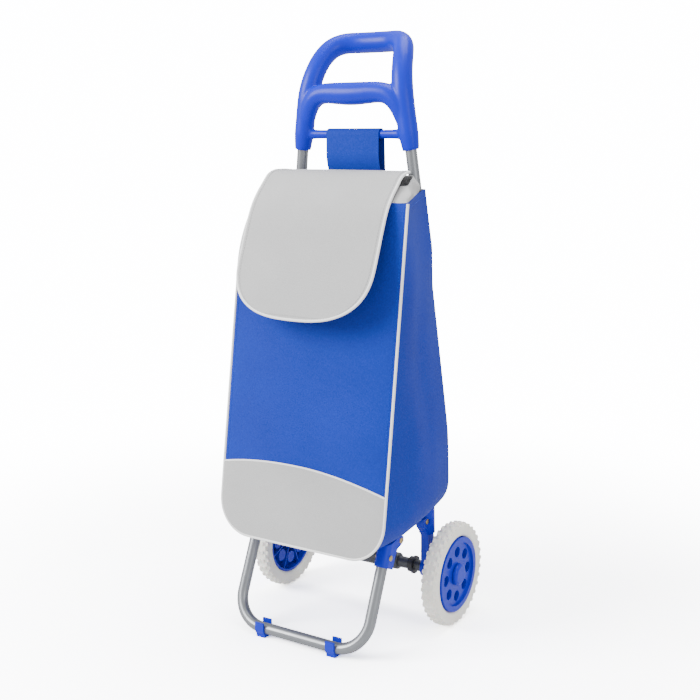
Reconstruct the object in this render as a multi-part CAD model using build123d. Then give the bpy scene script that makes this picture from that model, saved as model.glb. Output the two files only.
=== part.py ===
"""Shopping trolley on two wheels: a folding steel frame that carries a soft bag.

Millimetres, +Z up, +Y towards the wheels (the back), X across.
Everything is laid out from the wheel axle (y = 0 there) and moved at export,
so that the origin lies on the floor under the middle of the whole trolley.
"""
from build123d import *
from math import hypot
import os

# ---- driving dimensions -------------------------------------------------------
WHEEL_R = 85.0            # 170 mm foam tyre
TYRE_HALF = 14.2          # half of the tyre's width
WHEEL_X = 163.0           # wheel plane from the middle of the trolley
HUB_R = 61.0
TUBE_D = 18.0             # frame tube
TUBE_WALL = 1.2
LEAN = 0.0542             # uprights lean forward by this much per mm of height
UPRIGHT_LOW_X = 118.0     # uprights from the rear bracket to the bend
UPRIGHT_TOP_X = 99.8      # at the handle's lower end
SLEEVE_Z = 763.5          # lower end of the handle's sleeves
BEND_Z = 616.0            # where the uprights turn inwards
HANDLE_TOP_Z = 947.0
GRIP_BACK_Y = 22.0        # the upper grip leans back to here
CROSSBAR_Z = 787.7

PIVOT_Y, PIVOT_Z = -17.0, 170.0      # rear pivot of the platform
KNEE_Y, KNEE_Z = -114.5, 170.0       # pivot of the front leg on the platform
FOLD_DEG = 70.0                      # the platform turns up by this much to fold
LEG_X = 120.5
LEG_SLOPE = 0.435                    # forward run of the leg per mm down
LEG_REF_Y, LEG_REF_Z = -154.0, 133.0  # a point on the leg's centre line
FOOT_Z = 13.4                        # centre of the foot bar
FOOT_BEND_R = 50.0
CLIP_X = 66.6
CLIP_WIDTH = 16.0
CLIP_WALL = 2.8

FRONT_SLOPE = 0.1409      # the bag's front leans back by this much per mm of height
FRONT_REF_Y, FRONT_REF_Z = -190.6, 273.6
FRONT_HALF, FRONT_HALF_TOP = 150.0, 148.0
FRONT_LOW_Z, FRONT_TOP_Z = 163.0, 689.0
BACK_HALF, BACK_HALF_TOP = 154.0, 113.0
BACK_LOW_Z, BACK_TOP_Z = 193.0, 705.0
BAG_CORNER_R = 57.0
SIDE_BULGE = 8.0
CLOTH = 2.0               # panel thickness with its lining
PANEL_T = 3.0             # the front panel is interlined
MIDDLE_LOW_Z = 181.0      # the bag's underside half way back
BOARD_Z = 194.0           # stiff board on the bag's floor
COLLAR_H = 24.0
FLAP_HALF = 121.0
FLAP_LOW_Z = 517.0
FLAP_T = 3.0
FLAP_HINGE_Y, FLAP_HINGE_Z = -49.0, 728.0
STRAP_W = 96.0

GAP = 0.3                 # between curved faces that don't carry each other
PIN_GAP = 0.05            # running clearance on a pivot, in radius

# ---- derived ------------------------------------------------------------------
TUBE_R = TUBE_D / 2
CLIP_FRONT = 12.0         # front of a foot clip from the foot bar's centre
FOOT_Y = LEG_REF_Y - (LEG_REF_Z - FOOT_Z) * LEG_SLOPE
AXLE_Y = (-(FOOT_Y - CLIP_FRONT) - WHEEL_R) / 2      # puts the box's middle at y = 0


def tube_y(z):
    """Centre of the uprights at a height."""
    return -(z - WHEEL_R) * LEAN


def front_y(z):
    """Outer face of the bag's front at a height."""
    return FRONT_REF_Y + (z - FRONT_REF_Z) * FRONT_SLOPE


def leg_y(z):
    return LEG_REF_Y + (z - LEG_REF_Z) * LEG_SLOPE


def sides(shape):
    """The same piece for the left (-X) and the right (+X)."""
    return {"left": mirror(shape, about=Plane.YZ), "right": shape}


def along_x(radius, x0, x1, y, z):
    """A round bar along X."""
    return Pos((x0 + x1) / 2, y, z) * Rot(0, 90, 0) * Cylinder(radius, abs(x1 - x0))


def block(x0, x1, y0, y1, z0, z1):
    return Pos((x0 + x1) / 2, (y0 + y1) / 2, (z0 + z1) / 2) * Box(x1 - x0, y1 - y0, z1 - z0)


def plate_x(outline, x0, x1):
    """A flat plate standing across X, from an outline sketched in Y and Z."""
    return extrude(Plane(origin=(x0, 0, 0), x_dir=(0, 1, 0), z_dir=(1, 0, 0)) * outline, x1 - x0)


def bent_tube(points, radii, radius, wall=0.0):
    """A round bar or tube along straight runs joined by tangent arcs."""
    path = FilletPolyline(*points, radius=radii)
    section = Circle(radius)
    if wall:
        section -= Circle(radius - wall)
    return sweep(Plane(origin=path @ 0, z_dir=path % 0) * section, path=path)


pieces = {}

# ---- wheels -------------------------------------------------------------------
ROD_R = 5.0
BUSH_R = 7.5
CUP_R, CUP_PITCH, CUP_COUNT = 8.8, 37.5, 8
WEB_IN, WEB_OUT = 6.5, 9.3        # the hub's disc, outwards from the wheel plane
RIM_IN, RIM_OUT = -8.6, 13.3
BOSS_R, BOSS_IN, BOSS_OUT = 15.0, -13.0, 11.0
CAP_R, CAP_OUT = 18.0, 17.5
CAP_WALL = 1.8
ROD_END = 14.0


def turned(outline):
    """A round part turned about X from an outline of (x outwards, radius)."""
    return revolve(Plane.XY * outline, Axis.X)


def wheel_pieces():
    """Tyre, hub, cap and bush, centred on the wheel plane with +X outwards."""
    section = Pos(0, (WHEEL_R + HUB_R) / 2) * Rectangle(2 * TYRE_HALF, WHEEL_R - HUB_R)
    tread = section.vertices().group_by(Axis.Y)[-1]
    section = fillet(tread, 9.0)
    section = fillet(section.vertices().group_by(Axis.Y)[0], 1.5)
    tyre = turned(section)

    rim = Pos((RIM_IN + RIM_OUT) / 2, HUB_R - 1.9) * Rectangle(RIM_OUT - RIM_IN, 3.8)
    lip = Pos(RIM_OUT - 2.5, HUB_R - 4.5) * Rectangle(5.0, 9.0)
    web = Pos((WEB_IN + WEB_OUT) / 2, HUB_R / 2 + 5) * Rectangle(WEB_OUT - WEB_IN, HUB_R - 12)
    boss = Pos((BOSS_IN + BOSS_OUT) / 2, BOSS_R / 2) * Rectangle(BOSS_OUT - BOSS_IN, BOSS_R)
    hub = turned(rim + lip) + turned(web) + turned(boss)
    for i in range(CUP_COUNT):
        at_cup = Rot(360 / CUP_COUNT * i, 0, 0) * Pos(0, 0, CUP_PITCH)
        at_rib = Rot(360 / CUP_COUNT * (i + 0.5), 0, 0)
        hub += at_cup * along_x(CUP_R + 1.5, -5.0, WEB_OUT, 0, 0)
        hub += at_rib * block(-6.0, WEB_IN + 0.5, -1.0, 1.0, BOSS_R - 1, HUB_R - 2)
    for i in range(CUP_COUNT):
        at_cup = Rot(360 / CUP_COUNT * i, 0, 0) * Pos(0, 0, CUP_PITCH)
        hub -= at_cup * along_x(CUP_R, -3.5, WEB_OUT + 5, 0, 0)
    hub -= along_x(BUSH_R, BOSS_IN - 1, BOSS_OUT + 1, 0, 0)

    dome = Pos((BOSS_OUT + CAP_OUT) / 2, CAP_R / 2) * Rectangle(CAP_OUT - BOSS_OUT, CAP_R)
    shoulder = dome.vertices().group_by(Axis.Y)[-1].sort_by(Axis.X)[-1]
    cap = turned(fillet(shoulder, 5.0))
    hollow = CAP_OUT - CAP_WALL - BOSS_OUT
    cap -= along_x(CAP_R - 4.5, BOSS_OUT - 1, BOSS_OUT + hollow, 0, 0)

    bush = along_x(BUSH_R, BOSS_IN, BOSS_OUT, 0, 0)
    bush -= along_x(ROD_R + PIN_GAP, BOSS_IN - 1, BOSS_OUT + 1, 0, 0)
    return {"tyre": tyre, "hub": hub, "cap": cap, "bush": bush}


for name, shape in wheel_pieces().items():
    right = Pos(WHEEL_X, 0, WHEEL_R) * shape
    for side, piece in sides(right).items():
        pieces[f"wheel_{name}_{side}"] = piece

# ---- axle ---------------------------------------------------------------------
BRACKET_IN, BRACKET_OUT = 111.0, 125.0      # rear bracket across X
AXLE_TUBE_R = 9.5
SLEEVE_HALF, SLEEVE_R = 66.0, 14.0

pieces["axle_rod"] = along_x(ROD_R, -WHEEL_X - ROD_END, WHEEL_X + ROD_END, 0, WHEEL_R)
axle_tube = along_x(AXLE_TUBE_R, -BRACKET_IN, BRACKET_IN, 0, WHEEL_R)
axle_tube -= along_x(ROD_R, -BRACKET_IN - 1, BRACKET_IN + 1, 0, WHEEL_R)
pieces["axle_tube"] = axle_tube
stiffener = along_x(SLEEVE_R, -SLEEVE_HALF, SLEEVE_HALF, 0, WHEEL_R)
stiffener = fillet(stiffener.edges().filter_by(GeomType.CIRCLE), 3.0)
stiffener -= along_x(AXLE_TUBE_R, -SLEEVE_HALF - 1, SLEEVE_HALF + 1, 0, WHEEL_R)
pieces["axle_stiffener"] = stiffener
collar = along_x(13.0, 86.0, 93.0, 0, WHEEL_R) + along_x(15.0, 93.0, 96.0, 0, WHEEL_R)
collar -= along_x(AXLE_TUBE_R, 80.0, 100.0, 0, WHEEL_R)
washer = along_x(10.0, BRACKET_OUT + GAP, WHEEL_X + BOSS_IN - GAP, 0, WHEEL_R)
washer -= along_x(ROD_R, BRACKET_OUT - 1, WHEEL_X, 0, WHEEL_R)
nut = along_x(8.5, WHEEL_X + BOSS_OUT + GAP, WHEEL_X + BOSS_OUT + 2.2, 0, WHEEL_R)
nut -= along_x(ROD_R, WHEEL_X, WHEEL_X + ROD_END + 1, 0, WHEEL_R)
for side, piece in sides(collar).items():
    pieces[f"axle_collar_{side}"] = piece
for side, piece in sides(washer).items():
    pieces[f"wheel_spacer_{side}"] = piece
for side, piece in sides(nut).items():
    pieces[f"push_nut_{side}"] = piece

# ---- uprights -----------------------------------------------------------------
UPRIGHT_LOW_Z = 154.0
UPRIGHT_END_Z = 838.0
TOP_SLOPE = (UPRIGHT_LOW_X - UPRIGHT_TOP_X) / (SLEEVE_Z - BEND_Z)


def upright_path(low_z, high_z):
    top_x = UPRIGHT_LOW_X - (high_z - BEND_Z) * TOP_SLOPE
    return [
        (UPRIGHT_LOW_X, tube_y(low_z), low_z),
        (UPRIGHT_LOW_X, tube_y(BEND_Z), BEND_Z),
        (top_x, tube_y(high_z), high_z),
    ]


upright = bent_tube(upright_path(UPRIGHT_LOW_Z, UPRIGHT_END_Z), 300.0, TUBE_R, TUBE_WALL)
upright_space = bent_tube(upright_path(UPRIGHT_LOW_Z, UPRIGHT_END_Z), 300.0, TUBE_R)
for side, piece in sides(upright).items():
    pieces[f"upright_tube_{side}"] = piece

# ---- rear brackets: axle boss, web, socket for the upright, pivot arm ----------
SOCKET_R, SOCKET_LOW_Z, SOCKET_TOP_Z = 13.2, 148.0, 190.0
PIVOT_R, HEAD_R, HEAD_T = 2.5, 4.6, 1.4
BAR_IN, BAR_OUT, BAR_H = 104.5, 107.5, 14.0      # platform bar across X, and its height

web_outline = make_face(Polyline(
    (-10.0, WHEEL_R), (-11.5, 141.0), (-14.5, 149.0), (-27.0, 162.0), (-28.0, 165.0),
    (-28.0, 176.0), (2.0, 176.0), (7.5, 150.0), (10.0, WHEEL_R), (-10.0, WHEEL_R)))
bracket = plate_x(web_outline, BRACKET_IN, BRACKET_OUT)
bracket += along_x(14.5, BRACKET_IN, BRACKET_OUT, 0, WHEEL_R)
socket_axis = Plane(
    origin=(UPRIGHT_LOW_X, tube_y(SOCKET_LOW_Z), SOCKET_LOW_Z), z_dir=(0, -LEAN, 1))
bracket += socket_axis * Pos(0, 0, (SOCKET_TOP_Z - SOCKET_LOW_Z) / 2) * Cylinder(
    SOCKET_R, SOCKET_TOP_Z - SOCKET_LOW_Z)
bracket -= upright_space
bracket -= along_x(ROD_R, BRACKET_IN - 1, BRACKET_OUT + 1, 0, WHEEL_R)
bracket -= along_x(PIVOT_R, BRACKET_IN - 1, BRACKET_OUT + 10, PIVOT_Y, PIVOT_Z)
bracket -= along_x(8.0, 100.0, BRACKET_IN, PIVOT_Y, PIVOT_Z)      # room for the bar's end
bracket -= along_x(HEAD_R + GAP, BRACKET_OUT, BRACKET_OUT + 10, PIVOT_Y, PIVOT_Z)
folded_bar_room = block(
    100.0, BAR_OUT + GAP, -BAR_H / 2 - 2 * GAP, BAR_H / 2 + 2 * GAP, 0, 40)
bracket -= Pos(0, PIVOT_Y, PIVOT_Z) * Rot(90 - FOLD_DEG, 0, 0) * folded_bar_room
for side, piece in sides(bracket).items():
    pieces[f"rear_bracket_{side}"] = piece

# ---- platform: two flat bars joined by three rods -------------------------------
ROD_YS = (-37.0, -68.0, -99.0)
PLATFORM_ROD_R = 3.0

bar = block(BAR_IN, BAR_OUT, KNEE_Y, PIVOT_Y, PIVOT_Z - BAR_H / 2, PIVOT_Z + BAR_H / 2)
for y in (PIVOT_Y, KNEE_Y):
    bar += along_x(BAR_H / 2, BAR_IN, BAR_OUT, y, PIVOT_Z)
for y in (PIVOT_Y, KNEE_Y):
    bar -= along_x(PIVOT_R + PIN_GAP, BAR_IN - 1, BAR_OUT + 1, y, PIVOT_Z)
for side, piece in sides(bar).items():
    pieces[f"platform_bar_{side}"] = piece
for name, y in zip(("rear", "middle", "front"), ROD_YS):
    pieces[f"platform_rod_{name}"] = along_x(PLATFORM_ROD_R, -BAR_IN, BAR_IN, y, PIVOT_Z)


def rivet(x_in, x_out, y, z):
    """A rivet with a low round head at each end."""
    body = along_x(PIVOT_R, x_in, x_out, y, z)
    for x0, x1 in ((x_in - HEAD_T, x_in), (x_out, x_out + HEAD_T)):
        head = along_x(HEAD_R, x0, x1, y, z)
        outer = head.edges().filter_by(GeomType.CIRCLE).sort_by(Axis.X)[0 if x0 < x_in else -1]
        body += fillet(outer, 0.9)
    return body


def ring(x_in, x_out, outer, inner, y, z):
    return along_x(outer, x_in, x_out, y, z) - along_x(inner, x_in - 1, x_out + 1, y, z)


for side, piece in sides(rivet(BAR_IN - GAP, BRACKET_OUT, PIVOT_Y, PIVOT_Z)).items():
    pieces[f"pivot_rivet_{side}"] = piece
spacer = ring(BAR_OUT + GAP, BRACKET_IN, 5.0, PIVOT_R, PIVOT_Y, PIVOT_Z)
for side, piece in sides(spacer).items():
    pieces[f"pivot_spacer_{side}"] = piece

# ---- front leg: one bent tube, two brackets, two foot clips ---------------------
BRACKET_HALF = 11.7
LEG_TOP_Z = 163.0
leg_points = [
    (-LEG_X, leg_y(LEG_TOP_Z), LEG_TOP_Z),
    (-LEG_X, FOOT_Y, FOOT_Z),
    (LEG_X, FOOT_Y, FOOT_Z),
    (LEG_X, leg_y(LEG_TOP_Z), LEG_TOP_Z),
]
pieces["leg_tube"] = bent_tube(leg_points, FOOT_BEND_R, TUBE_R, TUBE_WALL)
leg_space = bent_tube(leg_points, FOOT_BEND_R, TUBE_R)

knee_outline = make_face(Polyline(
    (-163.3, 140.6), (-139.9, 130.4), (-131.0, 150.0), (-124.5, 159.0), (-112.0, 163.0),
    (-106.0, 167.0), (-106.0, 174.0), (-110.0, 176.5), (-122.0, 176.5), (-150.2, 170.6),
    (-163.3, 140.6)))
knee = plate_x(knee_outline, LEG_X - BRACKET_HALF, LEG_X + BRACKET_HALF)
front_edges = knee.edges().filter_by(
    lambda e: abs(e.center().X - LEG_X) > BRACKET_HALF - 0.1
    and e.center().Y < -155 and abs((e % 0.5).X) < 0.1)
knee = fillet(front_edges, 9.5)
knee -= leg_space
RIVET_Z = 151.0
knee -= along_x(PIVOT_R, 0, 200, leg_y(RIVET_Z), RIVET_Z)
knee -= along_x(PIVOT_R, 0, 200, KNEE_Y, KNEE_Z)
for side, piece in sides(knee).items():
    pieces[f"front_bracket_{side}"] = piece
leg_rivet = rivet(LEG_X - BRACKET_HALF, LEG_X + BRACKET_HALF, leg_y(RIVET_Z), RIVET_Z)
leg_hole = along_x(PIVOT_R, LEG_X - 20, LEG_X + 20, leg_y(RIVET_Z), RIVET_Z)
pieces["leg_tube"] -= leg_hole
pieces["leg_tube"] -= mirror(leg_hole, about=Plane.YZ)
for side, piece in sides(leg_rivet).items():
    pieces[f"leg_rivet_{side}"] = piece
for side, piece in sides(rivet(BAR_IN - GAP, LEG_X + BRACKET_HALF, KNEE_Y, KNEE_Z)).items():
    pieces[f"knee_rivet_{side}"] = piece

clip_outer = Circle(TUBE_R + CLIP_WALL) + Pos(0, 6) * Rectangle(2 * CLIP_FRONT, 12)
clip_outer += Pos(0, -FOOT_Z / 2) * Rectangle(16, FOOT_Z)
clip_outline = clip_outer - Circle(TUBE_R + 0.05) - Pos(0, 10) * Rectangle(2 * TUBE_R + 0.1, 20)
clip = plate_x(Pos(FOOT_Y, FOOT_Z) * clip_outline, CLIP_X - CLIP_WIDTH / 2, CLIP_X + CLIP_WIDTH / 2)
for side, piece in sides(clip).items():
    pieces[f"foot_clip_{side}"] = piece

# ---- handle: one moulding pushed over the uprights -------------------------------
HANDLE_LEG_R = 13.2
ARCH_R = 14.5
GRIP_R = 15.0
CROSSBAR_R = 7.0
SHOULDER_Z = 852.0
CORNER_X = 68.0


def handle_x(z):
    return UPRIGHT_LOW_X - (z - BEND_Z) * TOP_SLOPE


arch_half = [
    (handle_x(SLEEVE_Z), tube_y(SLEEVE_Z), SLEEVE_Z),
    (handle_x(SHOULDER_Z), tube_y(SHOULDER_Z), SHOULDER_Z),
    (CORNER_X, GRIP_BACK_Y, HANDLE_TOP_Z - ARCH_R - 2),
]
arch = arch_half + [(-x, y, z) for x, y, z in reversed(arch_half)]
handle = bent_tube(arch, [70.0, 48.0, 48.0, 70.0], HANDLE_LEG_R)
LOWER_GRIP_Z, LOWER_GRIP_Y = 849.5, -49.0
grip_half = [(handle_x(795.0) - 1.0, tube_y(795.0) - 3, 795.0), (handle_x(LOWER_GRIP_Z) - 3, LOWER_GRIP_Y, LOWER_GRIP_Z)]
grip = grip_half + [(-x, y, z) for x, y, z in reversed(grip_half)]
handle += bent_tube(grip, 40.0, GRIP_R)
crossbar_x = handle_x(CROSSBAR_Z)
handle += along_x(CROSSBAR_R, -crossbar_x, crossbar_x, tube_y(CROSSBAR_Z), CROSSBAR_Z)
handle -= upright_space
handle -= mirror(upright_space, about=Plane.YZ)
pieces["handle"] = handle

# ---- bag ----------------------------------------------------------------------
BACK_FACE = TUBE_R + 1.5          # outer back cloth behind the tubes
LINING_FACE = -TUBE_R - 1.5       # inner back cloth in front of the tubes
LINING_T = 1.5


def back_y(z):
    return tube_y(z) + BACK_FACE


def bag_plane(y_at, low_z, top_z):
    """The leaning plane of a cross panel, its X across and its Y up the slope."""
    low, top = (0, y_at(low_z), low_z), (0, y_at(top_z), top_z)
    rise_y, rise_z = top[1] - low[1], top[2] - low[2]
    plane = Plane(origin=low, x_dir=(1, 0, 0), z_dir=(0, -rise_z, rise_y))
    return plane, hypot(rise_y, rise_z)


def bag_edge(height, half_low, half_top, inset):
    """The U of a cross panel: two sides and the round lower corners."""
    radius = BAG_CORNER_R - inset
    a, b = half_low - inset, half_top - inset
    return FilletPolyline(
        (b, height), (a, height * 0.25), (a, inset), (-a, inset), (-a, height * 0.25),
        (-b, height), radius=[400.0, radius, radius, 400.0])


def bag_face(height, half_low, half_top, inset=0.0):
    rim = Line((half_top - inset, height), (inset - half_top, height))
    return make_face(bag_edge(height, half_low, half_top, inset) + rim)


def bag_body(front_shift, back_shift, inset, extra_top):
    """The bag's outer form between its front and back, or its inner room."""
    def front(z):
        return front_y(z) + front_shift

    def back(z):
        return back_y(z) + back_shift

    def middle(z):
        return (front(z) + back(z)) / 2

    mid_top_z = (FRONT_TOP_Z + BACK_TOP_Z) / 2
    mid_half = (FRONT_HALF + BACK_HALF) / 2 + SIDE_BULGE
    mid_half_top = (FRONT_HALF_TOP + BACK_HALF_TOP) / 2
    sections = []
    for y_at, low_z, top_z, half, half_top in (
            (front, FRONT_LOW_Z, FRONT_TOP_Z, FRONT_HALF, FRONT_HALF_TOP),
            (middle, MIDDLE_LOW_Z, mid_top_z, mid_half, mid_half_top),
            (back, BACK_LOW_Z, BACK_TOP_Z, BACK_HALF, BACK_HALF_TOP)):
        plane, height = bag_plane(y_at, low_z, top_z + extra_top)
        sections.append(plane * bag_face(height, half, half_top, inset))
    return loft(sections)


front_plane, front_height = bag_plane(front_y, FRONT_LOW_Z, FRONT_TOP_Z)
back_plane, back_height = bag_plane(back_y, BACK_LOW_Z, BACK_TOP_Z)
front_outline = bag_face(front_height, FRONT_HALF, FRONT_HALF_TOP)
back_outline = bag_face(back_height, BACK_HALF, BACK_HALF_TOP)
# both planes face -Y, so a negative distance goes into the front panel's cloth
pieces["bag_front_panel"] = extrude(front_plane * front_outline, -PANEL_T)
pieces["bag_back_panel"] = extrude(back_plane * back_outline, CLOTH)

gusset = bag_body(PANEL_T + 0.1, -CLOTH - 0.1, 0, 0) - bag_body(PANEL_T - 1, 1 - CLOTH, CLOTH, 30)
SEAM_X = FRONT_HALF - BAG_CORNER_R
centre_strip = block(-SEAM_X, SEAM_X, -300, 100, 100, 260)
LINING_LOW_Y = tube_y(BACK_LOW_Z) + LINING_FACE
pocket_mouth = block(-136, 136, LINING_LOW_Y - 1, 100, 100, 230)
pieces["bag_bottom_panel"] = (gusset & centre_strip) - pocket_mouth
side_wall = (gusset & block(0, 200, -300, 100, 100, 800)) - centre_strip - pocket_mouth
for side, piece in sides(side_wall).items():
    pieces[f"bag_side_{side}"] = piece

lean_plane = Plane(origin=(0, tube_y(0) + LINING_FACE, 0), x_dir=(1, 0, 0), z_dir=(0, -1, -LEAN))
lining_sheet = extrude(lean_plane * Pos(0, 450) * Rectangle(400, 900), LINING_T)
lining = lining_sheet & bag_body(PANEL_T - 1, 1 - CLOTH, CLOTH + 0.2, 0)
pieces["bag_tube_pocket"] = lining - block(-200, 200, -300, 100, 100, 192)
pieces["bag_base_board"] = block(-SEAM_X + 4, SEAM_X - 4, -184, -30, BOARD_Z, BOARD_Z + 3)

# ---- bag: grey patch on the front and the white pipings --------------------------
PATCH_T = 1.2
PIPE_R, THIN_PIPE_R = 2.0, 1.4
PATCH_LEFT_Z, PATCH_MID_Z, PATCH_RIGHT_Z = 272.8, 287.0, 261.0
SLOPE_UP = front_height / (FRONT_TOP_Z - FRONT_LOW_Z)


def up_front(z):
    """Distance up the front panel to a height."""
    return (z - FRONT_LOW_Z) * SLOPE_UP


patch_top = ThreePointArc(
    (1 - FRONT_HALF, up_front(PATCH_LEFT_Z)), (-25, up_front(PATCH_MID_Z)),
    (FRONT_HALF - 1, up_front(PATCH_RIGHT_Z)))
left_end, right_end = patch_top @ 0, patch_top @ 1
patch_area = make_face(patch_top + Polyline(
    right_end, (160, right_end.Y), (160, -20), (-160, -20), (-160, left_end.Y), left_end))
pieces["bag_lower_patch"] = extrude(front_plane * (front_outline & patch_area), PATCH_T)

edge_x = FRONT_HALF + PIPE_R + 0.2
edge_top_x = FRONT_HALF_TOP + PIPE_R + 0.2
pipe_corner = BAG_CORNER_R + PIPE_R + 0.2
pipe_low = -PIPE_R - 0.2
pipe_bend = front_height * 0.25
pipe_points = [(edge_top_x, front_height), (edge_x, pipe_bend), (edge_x, pipe_low)]
pipe_points += [(-x, v) for x, v in reversed(pipe_points)]
pipe_path = Plane(front_plane.location * Pos(0, 0, 0.5)) * FilletPolyline(
    *pipe_points, radius=[400.0, pipe_corner, pipe_corner, 400.0])
pieces["front_piping"] = sweep(
    Plane(origin=pipe_path @ 0, z_dir=pipe_path % 0) * Circle(PIPE_R), path=pipe_path)

rise = THIN_PIPE_R + 0.2
seam_path = Plane(front_plane.location * Pos(0, rise, PATCH_T + 0.5)) * patch_top
pieces["patch_piping"] = sweep(
    Plane(origin=seam_path @ 0, z_dir=seam_path % 0) * Circle(THIN_PIPE_R), path=seam_path)

# ---- bag: collar round the mouth ------------------------------------------------
COLLAR_T = 1.5


def quad(front_x, front_y_, back_x, back_y_, front_z, back_z, inset):
    """A four-cornered ring outline of the bag's mouth, level across and sloping back."""
    fx, bx = front_x - inset, back_x - inset
    fy, by = front_y_ + inset, back_y_ - inset
    return make_face(Polyline(
        (-fx, fy, front_z), (fx, fy, front_z), (bx, by, back_z), (-bx, by, back_z), (-fx, fy, front_z)))


def collar_form(inset, below, above):
    rim_slope = (BACK_TOP_Z - FRONT_TOP_Z) / (back_y(BACK_TOP_Z) - front_y(FRONT_TOP_Z))
    low_front, low_back = front_y(FRONT_TOP_Z) + 0.5, COLLAR_BACK_Y
    z_front = FRONT_TOP_Z + 0.5 * rim_slope + 0.2
    z_back = z_front + (low_back - low_front) * rim_slope
    top_front_z, top_back_z = z_front + COLLAR_H - 2, z_back + COLLAR_H
    return loft([
        quad(147.0, low_front, 118.5, low_back, z_front - below, z_back - below, inset),
        quad(132.0, -104.0, 109.0, COLLAR_BACK_Y, top_front_z + above, top_back_z + above, inset),
    ], ruled=True)


COLLAR_BACK_Y = tube_y(BACK_TOP_Z) + LINING_FACE - 0.2
pieces["bag_collar"] = collar_form(0, 0, 0) - collar_form(COLLAR_T, 2, 2)

# ---- hanging strap over the handle's crossbar --------------------------------------
STRAP_T = 1.5
STRAP_LOW_Z = 690.0
loop_in = CROSSBAR_R + GAP
loop_out = loop_in + STRAP_T
bar_y = tube_y(CROSSBAR_Z)
tail_y = back_y(STRAP_LOW_Z) - CLOTH - GAP


def loop_face(reach, front_low, back_low, low_z):
    """A drop shape that hangs over the crossbar and narrows to the sewn tail."""
    front, back = (bar_y - reach, CROSSBAR_Z), (bar_y + reach, CROSSBAR_Z)
    over = ThreePointArc(front, (bar_y, CROSSBAR_Z + reach), back)
    return make_face(over + Polyline(back, (back_low, low_z), (front_low, low_z), front))


strap_outline = loop_face(loop_out, tail_y - 2 * STRAP_T, tail_y, STRAP_LOW_Z)
strap_outline -= loop_face(loop_in, tail_y - STRAP_T - 0.4, tail_y - STRAP_T + 0.4, STRAP_LOW_Z + 20)
pieces["hanging_strap"] = plate_x(strap_outline, -STRAP_W / 2, STRAP_W / 2)

# ---- flap: a stiffened cover sewn to the back of the mouth --------------------------
flap_curve = Spline(
    (FLAP_HINGE_Y, FLAP_HINGE_Z), (-72.0, 733.0), (-96.0, 729.0), (-113.0, 717.0), (-148.0, 677.0),
    (-179.0, 603.0), (-203.0, 544.0), (-215.5, 512.0))


def flap_sheet(outwards, inwards, half):
    """The flap's side view thickened and drawn across to +-half."""
    outer = Pos(-outwards * 0.75, outwards * 0.75) * flap_curve
    inner = Pos(inwards * 0.75, -inwards * 0.75) * flap_curve
    face = make_face(outer + Line(outer @ 1, inner @ 1) + inner + Line(inner @ 0, outer @ 0))
    return plate_x(face, -half, half)


def flap_outline(grow):
    """The flap seen from the front: straight sides and one broad round end."""
    half, low = FLAP_HALF + grow, FLAP_LOW_Z - grow
    corners = [(half, 760), (half, low + 19), (0, low - 5), (-half, low + 19), (-half, 760)]
    edge = FilletPolyline(*corners, radius=[70.0 + grow, 250.0, 70.0 + grow])
    return make_face(edge + Line(edge @ 1, edge @ 0))


def front_prism(outline):
    return extrude(Plane(origin=(0, 50, 0), x_dir=(1, 0, 0), z_dir=(0, -1, 0)) * outline, 400)


pieces["flap"] = flap_sheet(0, FLAP_T, FLAP_HALF + 10) & front_prism(flap_outline(0))
rim_prism = front_prism(flap_outline(3.0)) - front_prism(flap_outline(0.1))
pieces["flap_piping"] = flap_sheet(0.5, FLAP_T + 0.5, FLAP_HALF + 10) & rim_prism

os.makedirs("parts", exist_ok=True)
for name, piece in pieces.items():
    export_step(Pos(0, AXLE_Y, 0) * piece, f"parts/{name}.step")
print(len(pieces), "pieces, axle at y =", round(AXLE_Y, 2))
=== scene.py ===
"""A two-wheeled shopping trolley: a folding tube frame, a blue moulded handle and a soft bag."""

from math import cos, pi, radians, sin, sqrt

import bpy
import numpy as np
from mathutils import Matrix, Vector, noise


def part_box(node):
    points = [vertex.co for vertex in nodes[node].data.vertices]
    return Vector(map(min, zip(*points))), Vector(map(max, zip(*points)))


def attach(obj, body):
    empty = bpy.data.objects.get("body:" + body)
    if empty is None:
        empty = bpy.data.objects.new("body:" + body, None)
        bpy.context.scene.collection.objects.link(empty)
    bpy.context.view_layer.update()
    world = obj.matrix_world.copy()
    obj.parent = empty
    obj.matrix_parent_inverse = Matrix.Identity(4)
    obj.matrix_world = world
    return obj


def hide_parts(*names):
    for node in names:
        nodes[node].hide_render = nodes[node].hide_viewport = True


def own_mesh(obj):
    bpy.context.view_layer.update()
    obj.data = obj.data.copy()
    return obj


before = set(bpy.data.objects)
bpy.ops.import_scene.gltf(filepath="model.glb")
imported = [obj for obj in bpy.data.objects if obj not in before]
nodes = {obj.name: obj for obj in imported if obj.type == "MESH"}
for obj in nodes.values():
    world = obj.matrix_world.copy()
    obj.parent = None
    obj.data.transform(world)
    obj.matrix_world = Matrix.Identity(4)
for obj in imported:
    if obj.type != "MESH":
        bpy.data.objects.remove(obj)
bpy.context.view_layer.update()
bpy.ops.object.select_all(action="DESELECT")

# ---- camera ------------------------------------------------------------------------------
# A long lens from the front right, a little above the bag's mouth.
bpy.ops.object.camera_add(location=(0.9544, -1.4983, 0.7822),
                          rotation=(radians(79.37), 0, radians(32.26)))
camera = bpy.context.object
camera.data.lens = 58.17
camera.data.sensor_width = 36
camera.data.clip_end = 100
bpy.context.scene.camera = camera

# ---- studio floor and light --------------------------------------------------------------
# A white floor that fades into a white room. The room looks brighter than the light it
# gives, so that the lamps shape the trolley: a broad one at the front left, a weak one at
# the right and a soft one overhead.
ROOM_WHITE = (0.97, 0.98, 1.0, 1)
ROOM_GLOW, ROOM_LIGHT = 16.0, 1.0
FLOOR_LIT, FLOOR_SEEN = (0.8, 0.8, 0.8, 1), (4.2, 4.2, 4.25, 1)
FLOOR_RADIUS, FADE_FROM, FADE_TO = 30, 0.3, 1.5


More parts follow.
